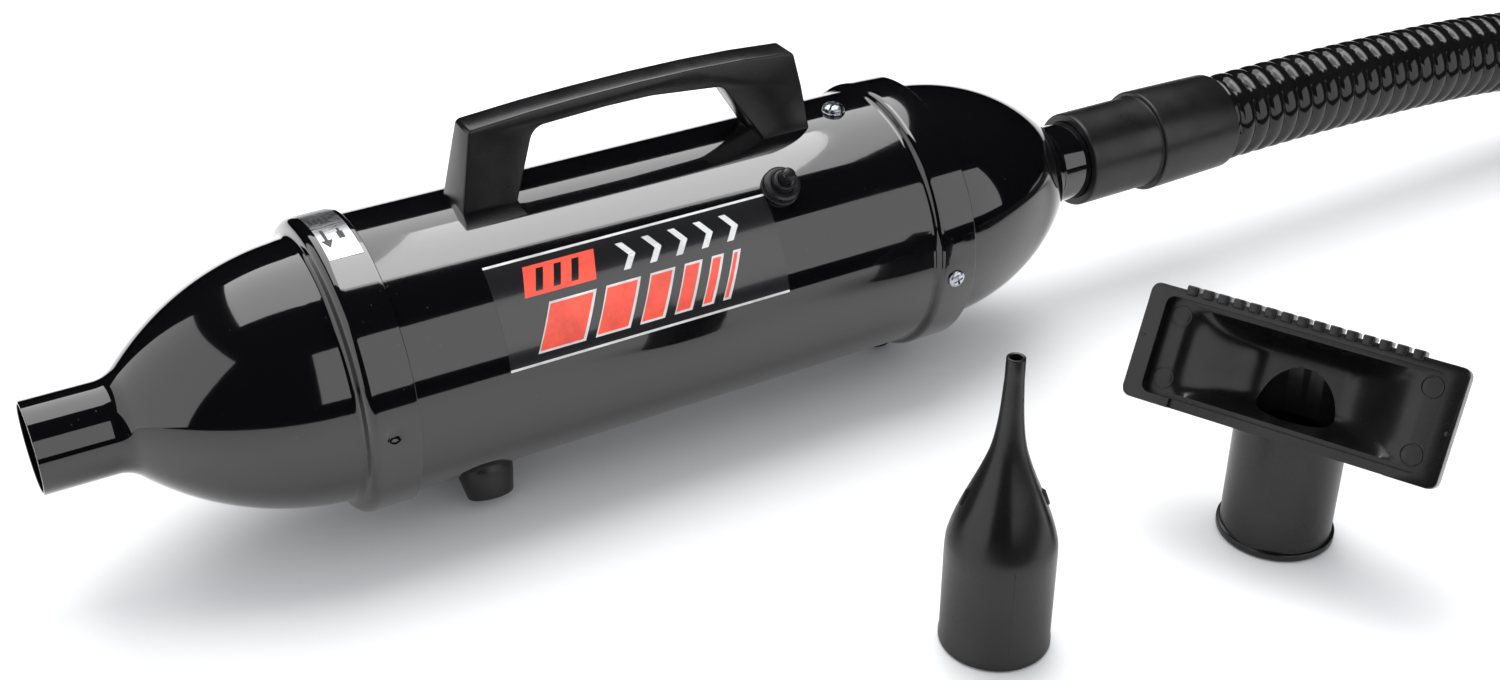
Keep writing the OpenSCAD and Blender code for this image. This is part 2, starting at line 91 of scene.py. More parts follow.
def remap(nt, value, lo, hi, out_lo, out_hi):
    r = nt.nodes.new("ShaderNodeMapRange")
    for key, v in (("From Min", lo), ("From Max", hi), ("To Min", out_lo), ("To Max", out_hi)):
        r.inputs[key].default_value = v
    nt.links.new(value, r.inputs["Value"])
    return r.outputs["Result"]


def add_bump(nt, b, height, strength, distance):
    bump = nt.nodes.new("ShaderNodeBump")
    bump.inputs["Strength"].default_value = strength
    bump.inputs["Distance"].default_value = distance
    nt.links.new(height, bump.inputs["Height"])
    nt.links.new(bump.outputs["Normal"], b.inputs["Normal"])


def mix_colour(nt, b, fac, c1, c2):
    mx = nt.nodes.new("ShaderNodeMix")
    mx.data_type = "RGBA"
    mx.inputs["A"].default_value = (*c1, 1)
    mx.inputs["B"].default_value = (*c2, 1)
    nt.links.new(fac, mx.inputs["Factor"])
    nt.links.new(mx.outputs["Result"], b.inputs["Base Color"])


def make_paint():
    m, nt, b = new_material("black_enamel", (0.003, 0.003, 0.0035), 0.06, coat=1.0, coat_rough=0.02)
    nt.links.new(remap(nt, noise(nt, 18, 4), 0.3, 0.7, 0.045, 0.1), b.inputs["Roughness"])
    mix_colour(nt, b, remap(nt, noise(nt, 900, 1), 0.78, 0.8, 0, 1), (0.003, 0.003, 0.0035), (0.05, 0.05, 0.05))
    add_bump(nt, b, noise(nt, 160, 3), 0.12, 0.00012)
    return m


def make_plastic(name, base, rough_lo, rough_hi, grain=1400, depth=0.00003, sheen_scale=35):
    m, nt, b = new_material(name, base, rough_lo)
    nt.links.new(remap(nt, noise(nt, sheen_scale, 4, 0.6), 0.3, 0.7, rough_lo, rough_hi), b.inputs["Roughness"])
    lighter = tuple(c * 1.7 for c in base)
    mix_colour(nt, b, remap(nt, noise(nt, 60, 5, 0.7), 0.35, 0.75, 0, 1), base, lighter)
    add_bump(nt, b, noise(nt, grain, 2), 0.35, depth)
    return m


def make_metal(name, base, rough_lo, rough_hi, scratch=(1, 1, 1), scale=500):
    m, nt, b = new_material(name, base, rough_lo, metal=1.0)
    nt.links.new(remap(nt, noise(nt, scale, 3, 0.6, scratch), 0.3, 0.7, rough_lo, rough_hi), b.inputs["Roughness"])
    darker = tuple(c * 0.72 for c in base)
    mix_colour(nt, b, remap(nt, noise(nt, 120, 4), 0.3, 0.7, 0, 1), base, darker)
    add_bump(nt, b, noise(nt, scale * 2, 2, 0.5, scratch), 0.25, 0.00003)
    return m


def make_cloth():
    m, nt, b = new_material("filter_foam", (0.6, 0.6, 0.57), 0.9)
    cells = nt.nodes.new("ShaderNodeTexVoronoi")
    cells.inputs["Scale"].default_value = 700
    tc = nt.nodes.new("ShaderNodeTexCoord")
    nt.links.new(tc.outputs["Object"], cells.inputs["Vector"])
    mix_colour(nt, b, remap(nt, cells.outputs["Distance"], 0.0, 0.6, 0, 1), (0.3, 0.3, 0.28), (0.7, 0.7, 0.66))
    add_bump(nt, b, cells.outputs["Distance"], 0.6, 0.0006)
    return m


def make_laminate():
    m, nt, b = new_material("laminated_iron", (0.2, 0.2, 0.21), 0.45, metal=0.9)
    wave = nt.nodes.new("ShaderNodeTexWave")
    wave.inputs["Scale"].default_value = 320
    tc = nt.nodes.new("ShaderNodeTexCoord")
    nt.links.new(tc.outputs["Object"], wave.inputs["Vector"])
    mix_colour(nt, b, wave.outputs["Fac"], (0.1, 0.1, 0.11), (0.32, 0.32, 0.34))
    add_bump(nt, b, wave.outputs["Fac"], 0.4, 0.0001)
    return m


PAINT = make_paint()
NYLON = make_plastic("satin_nylon", (0.0055, 0.0055, 0.006), 0.18, 0.3)
NOZZLE = make_plastic("nozzle_plastic", (0.0048, 0.0046, 0.0048), 0.2, 0.36, grain=900, sheen_scale=22)
GLOSSY = make_plastic("glossy_plastic", (0.0035, 0.0035, 0.0036), 0.1, 0.18, grain=300)
CUFF = make_plastic("soft_cuff", (0.006, 0.006, 0.0063), 0.26, 0.42, grain=1800, sheen_scale=50)
RUBBER = make_plastic("matt_rubber", (0.008, 0.008, 0.008), 0.3, 0.48, grain=2200, depth=0.00006)
HOSE = make_plastic("hose_vinyl", (0.0045, 0.0043, 0.0045), 0.06, 0.13, grain=500, sheen_scale=80)
KNURL = make_plastic("black_brass", (0.008, 0.008, 0.009), 0.26, 0.4, grain=2500)
ZINC = make_metal("bright_zinc", (0.62, 0.66, 0.72), 0.16, 0.34)
FOIL = make_metal("silver_foil", (0.7, 0.72, 0.74), 0.22, 0.36, scratch=(1, 8, 8), scale=200)
BRASS = make_metal("brass", (0.78, 0.58, 0.26), 0.2, 0.36)
COPPER = make_metal("enamelled_copper", (0.72, 0.3, 0.14), 0.25, 0.45, scratch=(1, 14, 14), scale=260)
ALLOY = make_metal("cast_alloy", (0.66, 0.67, 0.69), 0.3, 0.5)
IRON = make_laminate()
CARBON = make_plastic("carbon", (0.03, 0.03, 0.032), 0.5, 0.65)
FOAM = make_cloth()
RED_INK = make_plastic("red_ink", (0.7, 0.062, 0.032), 0.3, 0.4, grain=600, depth=0.00001)
WHITE_INK = make_plastic("white_ink", (0.5, 0.5, 0.49), 0.3, 0.4, grain=600, depth=0.00001)
BLACK_INK = make_plastic("black_ink", (0.02, 0.02, 0.022), 0.35, 0.45, grain=600, depth=0.00001)
FILM = new_material("clear_film", (0.012, 0.012, 0.014), 0.2, coat=1.0, coat_rough=0.08)[0]
add_bump(FILM.node_tree, FILM.node_tree.nodes["Principled BSDF"], noise(FILM.node_tree, 90, 4), 0.2, 0.0002)

NODE_LOOKS = {
    "handle_screws": ZINC, "foot_screws": ZINC, "switch_body": NYLON, "button_spring": ZINC, "inlet_pins": BRASS,
    "power_inlet": NYLON, "guard_plate": ZINC, "filter_frame": NYLON, "filter_pad": FOAM, "fan_can": ZINC,
    "diffuser": ALLOY, "mount_ring": RUBBER, "front_bracket": ALLOY, "rear_bracket": ALLOY, "rear_spider": RUBBER,
    "field_stack": IRON, "field_coils": COPPER, "bearings": ZINC, "brush_holders": BRASS, "brushes": CARBON,
    "brush_springs": ZINC, "shaft": ZINC, "armature_core": IRON, "armature_windings": COPPER,
    "commutator": COPPER, "impellers": ALLOY, "impeller_nut": ZINC, "nose_gasket": RUBBER}


# ---------------------------------------------------------------- mesh helpers
def arc(cx, cy, r, a0, a1, n):
    """Points on an arc, angles in degrees."""
    return [(cx + r * math.cos(math.radians(a0 + (a1 - a0) * i / n)),
             cy + r * math.sin(math.radians(a0 + (a1 - a0) * i / n))) for i in range(n + 1)]


def rounded(points, closed=True, n=5):
    """A polyline with its corners rounded; each point is (x, y) or (x, y, radius)."""
    out = []
    count = len(points)
    for i, p in enumerate(points):
        r = p[2] if len(p) > 2 else 0
        if not r or (not closed and i in (0, count - 1)):
            out.append(p[:2])
            continue
        c = Vector(p[:2])
        a = (Vector(points[i - 1][:2]) - c)
        b = (Vector(points[(i + 1) % count][:2]) - c)
        la, lb = a.length, b.length
        a.normalize()
        b.normalize()
        half = a.angle(b) / 2
        cut = min(r / math.tan(half), la * 0.49, lb * 0.49)
        radius = cut * math.tan(half)
        centre = c + (a + b).normalized() * (radius / math.sin(half))
        va, vb = c + a * cut - centre, c + b * cut - centre
        turn = va.angle_signed(vb)
        for k in range(n + 1):
            w = va.copy()
            w.rotate(Matrix.Rotation(-turn * k / n, 2))
            out.append(tuple(centre + w))
    return out


def densify(outline, pieces):
    """Splits each side p-q of a closed outline into pieces(p, q) equal lengths."""
    out = []
    for i, p in enumerate(outline):
        q = outline[(i + 1) % len(outline)]
        n = pieces(p, q)
        out += [(p[0] + (q[0] - p[0]) * k / n, p[1] + (q[1] - p[1]) * k / n) for k in range(n)]
    return out


def claim(ob, node, body):
    """Puts a finished piece in place of its CAD node, on its body."""
    if node:
        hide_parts(node)
    if body:
        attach(ob, body)
    return ob


def finish_mesh(name, bm, material, body, node=None, sharp=35):
    bmesh.ops.remove_doubles(bm, verts=bm.verts, dist=1e-7)
    bmesh.ops.recalc_face_normals(bm, faces=bm.faces)
    me = bpy.data.meshes.new(name)
    bm.to_mesh(me)
    bm.free()
    for p in me.polygons:
        p.use_smooth = True
    me.set_sharp_from_angle(angle=math.radians(sharp))
    me.materials.append(material)
    ob = bpy.data.objects.new(name, me)
    bpy.context.scene.collection.objects.link(ob)
    return claim(ob, node, body)


def lathe(name, outline, material, body, node=None, segs=192, place=X_AXIS, shape=None, sharp=35):
    """Turns a closed outline of (along, radius) round the local Z axis. shape(along, radius, turn) may bend it."""
    bm = bmesh.new()
    rings = []
    for k in range(segs):
        t = 2 * math.pi * k / segs
        ring = []
        for a, r in outline:
            if shape:
                a, r = shape(a, r, math.degrees(t))
            ring.append(bm.verts.new(place @ Vector((r * math.cos(t) * MM, r * math.sin(t) * MM, a * MM))))
        rings.append(ring)
    for k in range(segs):
        one, two = rings[k], rings[(k + 1) % segs]
        for i in range(len(outline)):
            j = (i + 1) % len(outline)
            if outline[i][1] > 1e-6 or outline[j][1] > 1e-6:
                bm.faces.new((one[i], one[j], two[j], two[i]))
    bmesh.ops.dissolve_degenerate(bm, dist=1e-9, edges=bm.edges)
    return finish_mesh(name, bm, material, body, node, sharp)


def radial_place(x, angle):
    """Local +Z points away from the body axis, at an angle from +Y towards +Z."""
    return Matrix.Translation((x * MM, 0, AXIS_H * MM)) @ Matrix.Rotation(math.radians(angle - 90), 4, "X")


def box_mesh(name, lo, hi, place, material, bevel=0.0):
    bm = bmesh.new()
    bmesh.ops.create_cube(bm, size=1)
    for v in bm.verts:
        v.co = Vector([(lo[i] + hi[i]) / 2 + v.co[i] * (hi[i] - lo[i]) for i in range(3)])
    if bevel:
        bmesh.ops.bevel(bm, geom=bm.edges[:], offset=bevel, segments=3, profile=0.5, affect="EDGES")
    for v in bm.verts:
        v.co = place @ (v.co * MM)
    return finish_mesh(name, bm, material, None)


def prism(name, outline, z0, z1, place, material, bevel=0.0):
    """An outline extruded along local Z, with its end edges rounded."""
    bm = bmesh.new()
    low = [bm.verts.new((x, y, z0)) for x, y in outline]
    high = [bm.verts.new((x, y, z1)) for x, y in outline]
    n = len(outline)
    bm.faces.new(low[::-1])
    bm.faces.new(high)
    for i in range(n):
        j = (i + 1) % n
        bm.faces.new((low[i], low[j], high[j], high[i]))
    if bevel:
        ends = [e for e in bm.edges if abs(e.verts[0].co.z - e.verts[1].co.z) < 1e-6]
        bmesh.ops.bevel(bm, geom=ends, offset=bevel, segments=3, profile=0.5, affect="EDGES")
    for v in bm.verts:
        v.co = place @ (v.co * MM)
    return finish_mesh(name, bm, material, None)


def cut(ob, tools, operation="DIFFERENCE"):
    """Boolean with a list of tool objects, applied to the mesh; the tools are removed."""
    for tool in tools:
        mod = ob.modifiers.new("cut", "BOOLEAN")
        mod.operation = operation
        mod.solver = "EXACT"
        mod.object = tool
        bpy.context.view_layer.update()
        done = bpy.data.meshes.new_from_object(ob.evaluated_get(bpy.context.evaluated_depsgraph_get()))
        ob.modifiers.clear()
        ob.data = done
        bpy.data.objects.remove(tool)
    ob.data.set_sharp_from_angle(angle=math.radians(35))
    return ob


def join(name, parts, body, node):
    """Joins meshes that share a piece; each keeps its own material."""
    base = parts[0]
    with bpy.context.temp_override(active_object=base, selected_editable_objects=parts, selected_objects=parts):
        bpy.ops.object.join()
    base.name = name
    return claim(base, node, body)


def rounded_box(hx, hy, r):
    return rounded([(-hx, -hy, r), (hx, -hy, r), (hx, hy, r), (-hx, hy, r)], n=5)


# ---------------------------------------------------------------- camera and stage
def add_camera():
    data = bpy.data.cameras.new("camera")
    data.sensor_width = 36
    data.lens = 45.2
    data.clip_end = 60
    cam = bpy.data.objects.new("camera", data)
    bpy.context.scene.collection.objects.link(cam)
    place = (-0.2970, -0.6261, 0.4616)
    azimuth, pitch, roll = math.radians(29.57), math.radians(31.46), math.radians(-0.32)
    forward = Vector((math.sin(azimuth) * math.cos(pitch), math.cos(azimuth) * math.cos(pitch),
                      -math.sin(pitch)))
    right = Vector((math.cos(azimuth), -math.sin(azimuth), 0))
    up = right.cross(forward)
    turned_right = right * math.cos(roll) + up * math.sin(roll)
    turned_up = up * math.cos(roll) - right * math.sin(roll)
    cam.matrix_world = Matrix([(turned_right[i], turned_up[i], -forward[i], place[i]) for i in range(3)]
                              + [(0, 0, 0, 1)])
    bpy.context.scene.camera = cam


def plane(name, lo, hi, z, material):
    bm = bmesh.new()
    corners = ((lo[0], lo[1], z), (hi[0], lo[1], z), (hi[0], hi[1], z), (lo[0], hi[1], z))
    bm.faces.new([bm.verts.new(p) for p in corners])
    return finish_mesh(name, bm, material, None)


def softbox(name, place, target, size, radiance):
    """A rectangular light of an even radiance, aimed at a point."""
    data = bpy.data.lights.new(name, "AREA")
    data.shape = "RECTANGLE"
    data.size, data.size_y = size
    data.energy = radiance * math.pi * size[0] * size[1]
    ob = bpy.data.objects.new(name, data)
    ob.location = place
    ob.rotation_euler = (Vector(target) - Vector(place)).to_track_quat("-Z", "Y").to_euler()
    bpy.context.scene.collection.objects.link(ob)
    return ob


def add_stage():
    wide = plane("stage_floor", (-6, -6), (6, 6), -0.0006,
                 new_material("pale_floor", (0.86, 0.86, 0.855), 0.6)[0])
    wide.visible_glossy = False
    # the table is seen only in reflections; the wide floor is seen by everything else
    table = plane("stage_table", (-1.6, -0.42), (1.8, 1.3), -0.0004,
                  new_material("pale_table", (0.72, 0.7, 0.69), 0.6)[0])
    table.visible_camera = False
    table.visible_diffuse = False
    table.visible_shadow = False
    aim = (0.1, 0.3, 0.1)
    softbox("key_wide", (0.15, 0.57, 1.3), aim, (1.5, 1.45), 2.6)
    softbox("key_core", (0.35, 0.25, 1.2), aim, (0.9, 0.5), 3.2)
    # these two only show as reflections, so they leave no hard edge of light on the floor
    for wall in (softbox("front_wall", (0.55, -1.05, 0.62), (0.4, 0.3, 0.5), (1.6, 1.0), 1.3),
                 softbox("left_wall", (-1.25, 0.3, 0.78), (0.2, 0.2, 0.6), (2.3, 1.6), 1.25)):
        wall.visible_diffuse = False
    world = bpy.data.worlds.new("studio")
    world.use_nodes = True
    world.node_tree.nodes["Background"].inputs["Color"].default_value = (0.94, 0.96, 1.0, 1)
    world.node_tree.nodes["Background"].inputs["Strength"].default_value = 1.0
    world.cycles_visibility.glossy = False
    bpy.context.scene.world = world
    bpy.context.scene.view_settings.view_transform = "Standard"


# ---------------------------------------------------------------- steel housing
def dome_run(arc_def, t, r_edge, r_small, side, n=40):
    """Dome profile from its wide edge to its small end."""
    x, off, big = arc_def
    r = big - t
    a0 = math.acos(min(1.0, (r_edge - off) / r))
    a1 = math.acos((r_small - off) / r)
    return [(x + side * r * math.sin(a0 + (a1 - a0) * i / n), off + r * math.cos(a0 + (a1 - a0) * i / n))
            for i in range(n + 1)]


def nose_side(t):
    """Profile from the skirt step to the mouth, set in by t: dome, fillet and tube."""
    x, off, big = NOSE_ARC
    fx = x - math.sqrt((big + NOSE_FILLET) ** 2 - (PORT_R + NOSE_FILLET - off) ** 2)
    k = big / (big + NOSE_FILLET)
    tr, tx = off + (PORT_R + NOSE_FILLET - off) * k, x + (fx - x) * k
    r_join = off + (tr - off) * (big - t) / big
    pts = dome_run(NOSE_ARC, t, 53.0 - t, r_join, -1)
    start = math.degrees(math.atan2(tr - (PORT_R + NOSE_FILLET), tx - fx))
    pts += arc(fx, PORT_R + NOSE_FILLET, NOSE_FILLET + t, start, -90, 14)[1:]
    return pts


def dent(a, r, turn, spots, depth, width):
    """Presses round dents into a turned sheet."""
    for sa, st in spots:
        d = (turn - st + 180) % 360 - 180
        dist = math.hypot((a - sa) / width, math.radians(d) * r / width)
        r -= depth * math.exp(-dist ** 4)
    return a, r


def make_nose():
    outer = nose_side(0)
    inner = nose_side(SHEET)
    skirt = rounded([(-141.5, 53.05, 0), (-137.0, 53.4, 2.6), (-135.4, 59.85, 5.2), (-116.2, 59.6, 0.45),
                     (-116.2, 58.3, 0.4), (-134.2, 58.4, 3.6), (-135.6, 52.2, 1.2), (-139, 51.9, 0)],
                    closed=False, n=8)
    lip = [(-246, PORT_R - 0.15), (-246, PORT_R - 0.4), (-246, PORT_R - SHEET + 0.3), (-245.8, PORT_R - SHEET)]
    left = [p for p in outer if p[0] < -142]
    left_inner = [p for p in inner if p[0] < -140]
    outline = (skirt + left_inner + [(-240, PORT_R - SHEET)] + lip[::-1]
               + [(-245.8, PORT_R), (-244, PORT_R)] + left[::-1])
    step = [(-127, a + 90) for a in (60, 180, 300)]

    def shape(a, r, turn):
        return dent(a, r, turn, step, 1.5, 3.1) if a > -134 and r > 57 else (a, r)

    def pieces(p, q):
        on_skirt = p[0] > -134 and p[1] > 58.4 and q[1] > 58.4
        return max(1, int(math.hypot(q[0] - p[0], q[1] - p[1]) / 1.2)) if on_skirt else 1
    lathe("nose_shell", densify(outline, pieces), PAINT, "nose", "nose_cone", segs=288, shape=shape)


def make_body():
    r, ri = BODY_R, BODY_R - SHEET
    outline = rounded([(-133.5, ri, 0.3), (-133.5, r, 0.3), (116.9, r, 2.8), (119.0, SKIRT_R, 4.0),
                       (136, 59.7, 0.45), (136, 58.5, 0.4), (119.8, 58.5, 2.6), (118.0, ri, 2.2)], n=8)
    tube = lathe("body_shell", outline, PAINT, None, None, segs=288)
    hole = box_mesh("inlet_hole", (-12.9, -9.9, 45), (12.9, 9.9, 65), radial_place(78, 20), PAINT)
    cut(tube, [hole])
    claim(tube, "body_tube", "housing")


def make_rear():
    big_r = REAR_ARC[2] + REAR_ARC[1]
    outer = dome_run(REAR_ARC, 0, big_r, 21.2, 1)
    inner = dome_run(REAR_ARC, SHEET, big_r - SHEET, 21.2, 1)
    end_in = inner[-1]
    neck = rounded([(outer[-1][0], outer[-1][1], 0), (216.6, 18.25, 2.2), (262, 18.2, 0.4),
                    (262, 17, 0.4), (214.5, 17.0, 2.0), (end_in[0], end_in[1], 0)], closed=False, n=6)
    seat = rounded([(140, big_r - SHEET, 0), (130.2, big_r - SHEET, 1), (129.9, 57.2, 1.0), (120, 57.2, 0.3),
                    (120, 58.4, 0.3), (131.2, 58.4, 1.2), (131.4, big_r, 1.0), (140, big_r, 0)], closed=False, n=6)
    outline = outer[1:-1] + neck + inner[1:-1][::-1] + seat
    lathe("rear_shell", outline, PAINT, "housing", "rear_cone", segs=256)


# ---------------------------------------------------------------- handle
def make_handle():
    top = [(-66.5, 88.9), (-42, 90.7), (-20, 91.8), (5, 92.5), (30, 92.5), (52, 91.8), (73.5, 90.3)]
    outline = rounded(
        [(-75.4, 54), (-74.5, 57), (top[0][0] - 1.6, top[0][1] - 0.3, 2.6)] + [(x, z, 30) for x, z in top[1:-1]]
        + [(76.0, 90.0, 2.6), (79, 75), (81.9, 54), (59.8, 54), (58.8, 57), (42.3, 82.3, 6), (10, 85.4, 40),
           (-10, 85.4, 40), (-41.6, 83.9, 7), (-51.8, 55.2), (-52, 54)], n=6)
    bm = bmesh.new()
    sides = []
    for s in (-1, 1):
        sides.append([bm.verts.new((x, s * (10.3 - (z - 57) * 0.113), z)) for x, z in outline])
    n = len(outline)
    bm.faces.new(sides[0])
    bm.faces.new(sides[1][::-1])
    for i in range(n):
        j = (i + 1) % n
        bm.faces.new((sides[0][i], sides[1][i], sides[1][j], sides[0][j]))
    bm.normal_update()
    rims = [e for e in bm.edges if e.verts[0].co.y * e.verts[1].co.y > 1]
    bmesh.ops.bevel(bm, geom=rims, offset=0.9, segments=3, profile=0.5, affect="EDGES")
    for v in bm.verts:
        v.co = Vector((v.co.x, v.co.y, v.co.z + AXIS_H)) * MM
    finish_mesh("handle_grip", bm, NYLON, "housing", "handle", sharp=40)


# ---------------------------------------------------------------- switch, screws, feet
def make_switch():
    place = radial_place(53, 127)
    outline = rounded([(57.0, 5.2), (57.0, 8.2, 0.3), (58.2, 8.2, 0.4), (58.35, 7.9, 0.2), (60.9, 7.9, 0.35),
                       (61.6, 6.9, 0.5), (61.75, 5.2, 0.2)], n=4)
    dense = densify(outline, lambda p, q: 4 if p[1] > 7.7 and q[1] > 7.7 else 1)

    def knurl(a, r, turn):
        if r > 7.6 and 58.4 < a < 61:
            r -= 0.42 * (0.5 + 0.5 * math.cos(math.radians(turn * 40)))
        return a, r
    lathe("knurled_nut", dense, KNURL, "housing", "switch_nut", segs=320, place=place, shape=knurl, sharp=50)
    bush = rounded([(57.0, 2.96), (57.0, 5.1), (62.4, 5.1, 0.3), (63.0, 4.6, 0.3), (64.4, 4.6, 0.5),
                    (64.4, 2.96, 0.3)], n=4)
    bushing = lathe("switch_bushing", bush, KNURL, "housing", None, segs=96, place=place)
    cap = rounded([(52, 0), (52, 2.88, 0.2), (69.2, 2.88, 0.3), (70.0, 2.2, 0.7), (70.15, 0)], n=5)
    lathe("plunger", cap, NYLON, "button", "button", segs=72, place=place)


def screw_head(name, place, r, seat, height, slots, shank, washer=0.0):
    """A pan head on its shank, with one or two slots cut in it."""
    base = seat + washer
    pts = [(seat - shank, 0), (seat - shank, r * 0.4), (seat + 0.01, r * 0.4)]
    if washer:
        pts += [(seat + 0.01, r * 1.12, 0.15), (base, r * 1.12, 0.15), (base, r, 0.1)]
    else:
        pts += [(seat + 0.01, r, 0.15)]
    pts += [(base + height * 0.55, r, 0.9), (base + height, r * 0.62, 2.5), (base + height + 0.12, 0)]
    head = lathe(name, rounded(pts, n=6), ZINC, None, None, segs=96, place=place)
    tools = [box_mesh("slot", (-w / 2, -0.5, base + height * 0.45), (w / 2, 0.5, base + height + 2),
                      place @ Matrix.Rotation(math.radians(a), 4, "Z"), ZINC) for a, w in slots]
    return cut(head, tools)


def make_screws():
    top = screw_head("top_screw", radial_place(98, 93), 4.5, BODY_R + 0.02, 2.6,
                     [(35, 12), (125, 5)], 4.5, washer=0.7)
    claim(top, "bracket_screw", "housing")
    heads = [screw_head(f"skirt_screw_{a}", radial_place(126, a), 3.9, SKIRT_R - 0.05, 2.0,
                        [(20, 4.6), (110, 4.6)], 5) for a in (5, 185)]
    join("skirt_screw_set", heads, "housing", "skirt_screws")


def make_feet():
    feet = []
    for angle in (247, 293):
        place = radial_place(-80, angle)
        outline = rounded([(65.9, 4.4), (69.85, 4.4, 0.3), (69.85, 9.4, 1.3), (60.2, 11.3, 0.6), (58.2, 11.5, 0.5),
                           (55.0, 11.2), (55.0, 2.1), (65.9, 2.1)], n=5)
        foot = lathe(f"foot_{angle}", outline, RUBBER, None, None, segs=96, place=place)
        feet.append(cut(foot, [lathe("tube_bed", [(-95, 0), (-95, BODY_R + 0.03), (-65, BODY_R + 0.03), (-65, 0)],
                                     RUBBER, None, None, segs=288)]))
    join("front_foot_pair", feet, "housing", "front_feet")
    outline = rounded([(2.5, 0), (2.5, 1.5), (0, 1.5, 0.3), (0, 6.5, 1.2), (8.9, 7.5, 0.3), (8.9, 1.8),
                       (12, 1.8), (12, 0)], n=5)
    lathe("rear_foot_pad", outline, RUBBER, "housing", "rear_foot", segs=96,
          place=Matrix.Translation((126 * MM, 0, 0)))


# ---------------------------------------------------------------- labels
def patch_mesh(bm, quad, r, lift, cols=10, rows=10, index=0):
    """A thin patch on the cylinder: quad is four (x, angle) corners, subdivided so that it follows the curve."""
    grid = {}
    (x00, a00), (x10, a10), (x11, a11), (x01, a01) = quad
    for layer, rad in ((0, r), (1, r + lift)):
        for i in range(cols + 1):
            for j in range(rows + 1):
                u, v = i / cols, j / rows
                x = (1 - v) * ((1 - u) * x00 + u * x10) + v * ((1 - u) * x01 + u * x11)
                a = math.radians((1 - v) * ((1 - u) * a00 + u * a10) + v * ((1 - u) * a01 + u * a11))
                grid[layer, i, j] = bm.verts.new((x * MM, rad * math.cos(a) * MM,
                                                  (AXIS_H + rad * math.sin(a)) * MM))
    faces = []
    for layer in (0, 1):
        for i in range(cols):
            for j in range(rows):
                faces.append(bm.faces.new([grid[layer, i, j], grid[layer, i + 1, j], grid[layer, i + 1, j + 1],
                                           grid[layer, i, j + 1]]))
    for i in range(cols):
        for j in (0, rows):
            faces.append(bm.faces.new([grid[0, i, j], grid[0, i + 1, j], grid[1, i + 1, j], grid[1, i, j]]))
    for j in range(rows):
        for i in (0, cols):
            faces.append(bm.faces.new([grid[0, i, j], grid[0, i, j + 1], grid[1, i, j + 1], grid[1, i, j]]))
    for f in faces:
        f.material_index = index


def bar_quad(x0, x1, a0, a1, lean=0.0):
    """A four-sided bar between two angles; lean shifts its upper edge along x."""
    return [(x0 + lean, a0), (x1 + lean, a0), (x1, a1), (x0, a1)]


def make_decal():
    bm = bmesh.new()
    patch_mesh(bm, bar_quad(-78, 45, 127.6, 170), BODY_R + 0.03, 0.08, 24, 24, 0)
    ink = BODY_R + 0.1
    patch_mesh(bm, bar_quad(-78, 45, 127.6, 128.6), ink, 0.05, 24, 2, 2)
    patch_mesh(bm, bar_quad(-78, 45, 168.9, 169.9), ink, 0.05, 24, 2, 2)
    x = -66.0
    for width in (20, 15, 11, 8, 5.5, 3.5):
        patch_mesh(bm, bar_quad(x, x + width, 147, 165.5, 9), ink, 0.05, 6, 12, 2)
        patch_mesh(bm, bar_quad(x + 0.9, x + width - 0.9, 147.9, 164.6, 8.3), ink + 0.03, 0.05, 6, 12, 1)
        x += width + 4.2
    patch_mesh(bm, bar_quad(-66, -36, 131.5, 143.5, 3), ink, 0.05, 8, 8, 1)
    for k in range(3):
        patch_mesh(bm, bar_quad(-61 + k * 7.5, -58 + k * 7.5, 133.2, 141.8, 3), ink + 0.03, 0.05, 2, 8, 0)
    x = -28.0
    for k in range(5):
        patch_mesh(bm, [(x + 4, 132), (x + 7, 132), (x + 11, 137.5), (x + 8, 137.5)], ink, 0.05, 3, 5, 2)
        patch_mesh(bm, [(x + 8, 137.5), (x + 11, 137.5), (x + 7, 143), (x + 4, 143)], ink, 0.05, 3, 5, 2)
        x += 11.5
    ob = finish_mesh("side_decal", bm, FILM, "housing", "decal_panel")
    ob.data.materials.append(RED_INK)
    ob.data.materials.append(WHITE_INK)


def make_lock_label():
    bm = bmesh.new()
    base = 59.72
    patch_mesh(bm, bar_quad(-131.4, -118.2, 64.5, 109.5), base, 0.14, 10, 32, 0)
    ink = base + 0.11
    patch_mesh(bm, bar_quad(-129.2, -127.9, 92, 99), ink, 0.05, 2, 8, 1)
    patch_mesh(bm, [(-130.8, 99), (-126.3, 99), (-128.3, 103.2), (-128.8, 103.2)], ink, 0.05, 3, 4, 1)
    for k in range(4):
        patch_mesh(bm, bar_quad(-130.5 + k * 2.1, -129.3 + k * 2.1, 81, 86.5), ink, 0.05, 2, 6, 1)
    patch_mesh(bm, bar_quad(-123.6, -121.2, 95, 99.5), ink, 0.05, 3, 5, 1)
    patch_mesh(bm, bar_quad(-122.9, -121.9, 92.6, 95), ink, 0.05, 2, 3, 1)
    ob = finish_mesh("foil_label", bm, FOIL, "nose", "lock_label")
    ob.data.materials.append(BLACK_INK)


# ---------------------------------------------------------------- hose and cuffs
def smooth_route(points, steps):
    """Catmull-Rom through the route, in metres."""
    p = [Vector(q) * MM for q in points]
    out = []
    for i in range(len(p) - 1):
        a, b, c, d = p[max(i - 1, 0)], p[i], p[i + 1], p[min(i + 2, len(p) - 1)]
        for s in range(steps):
            f = s / steps
            out.append(0.5 * (2 * b + (c - a) * f + (2 * a - 5 * b + 4 * c - d) * f * f
                              + (3 * b - a - 3 * c + d) * f ** 3))
    out.append(p[-1])
    return out


